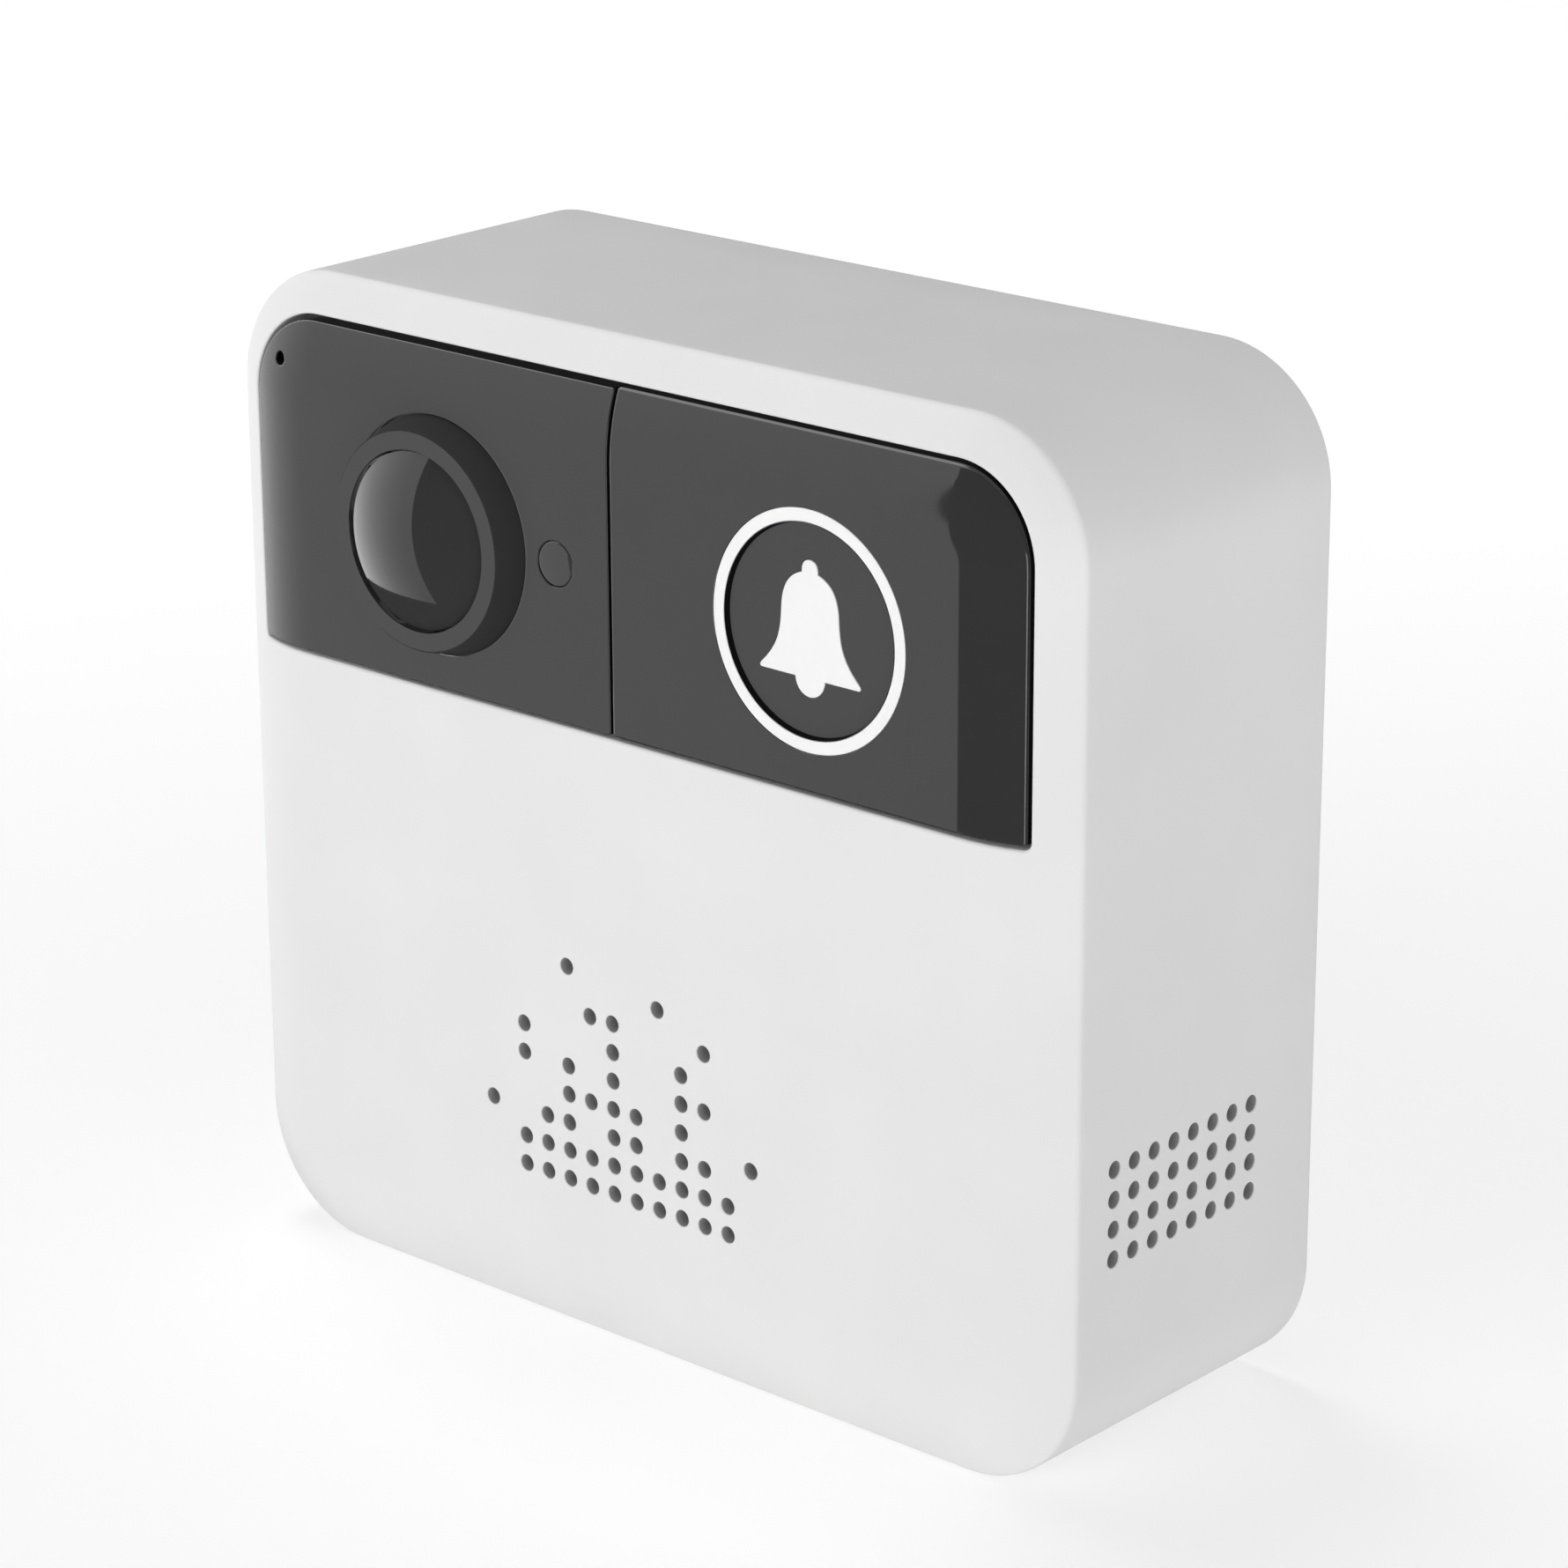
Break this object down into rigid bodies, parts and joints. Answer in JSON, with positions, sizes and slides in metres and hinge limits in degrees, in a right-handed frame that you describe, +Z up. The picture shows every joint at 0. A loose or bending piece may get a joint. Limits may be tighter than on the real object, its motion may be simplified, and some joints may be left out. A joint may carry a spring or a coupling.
{
  "type": "video doorbell",
  "caption": "Square battery video doorbell: white rolled-front case, dark window with domed camera and push-plate bell button, sound holes, battery door and wall bracket.",
  "frame": {"origin": "centre of the bounding box in X and Y, at the bottom face", "axes": "+Z up; the front with the camera faces -Y; the wall face is towards +Y; +X is the right-hand side seen from the front"},
  "size_m": [0.09, 0.0374, 0.0865],
  "materials": {
    "white_plastic": "fine satin moulded ABS, white",
    "dark_window": "glossy dark grey acrylic",
    "dark_lens": "polished smoked polycarbonate, near black",
    "black_plastic": "black moulded plastic",
    "milky_plastic": "translucent white light guide",
    "grey_plastic": "grey moulded plastic",
    "rubber": "black silicone rubber",
    "circuit_board": "green solder mask on glass-epoxy board",
    "chip": "moulded chip package",
    "steel": "nickel-plated steel",
    "battery_cell": "heat-shrink sleeve; aluminium stands in for the cell's mean density",
    "emitter": "clear epoxy emitter",
    "ribbon": "amber polyimide film",
    "paper_cone": "pressed paper"
  },
  "bodies": {
    "case": {"front_housing": "white_plastic", "camera_panel": "dark_window", "lens_bezel": "dark_window", "lens_dome": "dark_lens", "lens_glass": "dark_lens", "lens_barrel": "black_plastic", "lens_holder": "black_plastic", "image_sensor": "chip", "camera_board": "circuit_board", "infrared_board": "circuit_board", "infrared_emitter_left": "emitter", "infrared_emitter_right": "emitter", "light_sensor_window": "dark_window", "light_sensor": "chip", "camera_ribbon": "ribbon", "microphone_boot": "rubber", "microphone": "steel", "panel_frame": "black_plastic", "switch_case": "black_plastic", "button_board": "circuit_board", "ring_light_1": "emitter", "ring_light_2": "emitter", "ring_light_3": "emitter", "ring_light_4": "emitter", "main_board": "circuit_board", "processor": "chip", "wifi_module": "steel", "antenna": "ribbon", "micro_usb_socket": "steel", "reset_switch": "black_plastic", "grille_mesh": "black_plastic", "speaker_gasket": "rubber", "speaker_frame": "steel", "speaker_cone": "paper_cone", "speaker_magnet": "steel", "speaker_lead": "rubber", "side_speaker": "black_plastic", "side_grille_mesh": "black_plastic", "battery_tray": "black_plastic", "battery_cell_lower": "battery_cell", "battery_cell_upper": "battery_cell", "contact_coil_lower": "steel", "contact_coil_upper": "steel", "contact_plate_lower": "steel", "contact_plate_upper": "steel", "battery_lead": "rubber", "rear_cover": "white_plastic", "rear_gasket": "rubber", "rear_screw_1": "steel", "rear_screw_2": "steel", "rear_screw_3": "steel", "rear_screw_4": "steel"},
    "button": {"bell_button": "dark_window", "button_centre": "dark_window", "ring_light_guide": "milky_plastic", "bell_icon": "milky_plastic"},
    "plunger": {"switch_plunger": "grey_plastic"},
    "reset": {"reset_button": "grey_plastic"},
    "door": {"battery_door": "white_plastic"},
    "bracket": {"wall_bracket": "grey_plastic"}
  },
  "joints": [
    {"name": "button_press", "type": "slide", "parent": "case", "child": "button", "axis": [0, 1, 0], "range_m": [0, 0.0005], "stiffness_N_per_m": 800, "springref_m": -0.001},
    {"name": "switch_plunger_slide", "type": "slide", "parent": "case", "child": "plunger", "axis": [0, 1, 0], "range_m": [0, 0.0005]},
    {"name": "reset_press", "type": "slide", "parent": "case", "child": "reset", "axis": [0, -1, 0], "range_m": [0, 0.0004], "stiffness_N_per_m": 500, "springref_m": -0.001},
    {"name": "battery_door_hinge", "type": "hinge", "parent": "case", "child": "door", "pos_m": [0, 0.01453, 0.0066], "axis": [-1, 0, 0], "range_deg": [0, 90]},
    {"name": "bracket_slide", "type": "slide", "parent": "case", "child": "bracket", "axis": [0, 0, -1], "range_m": [0, 0.005]}
  ],
  "couplings": [
    {"joint": "switch_plunger_slide", "follows": "button_press", "ratio": 1}
  ]
}
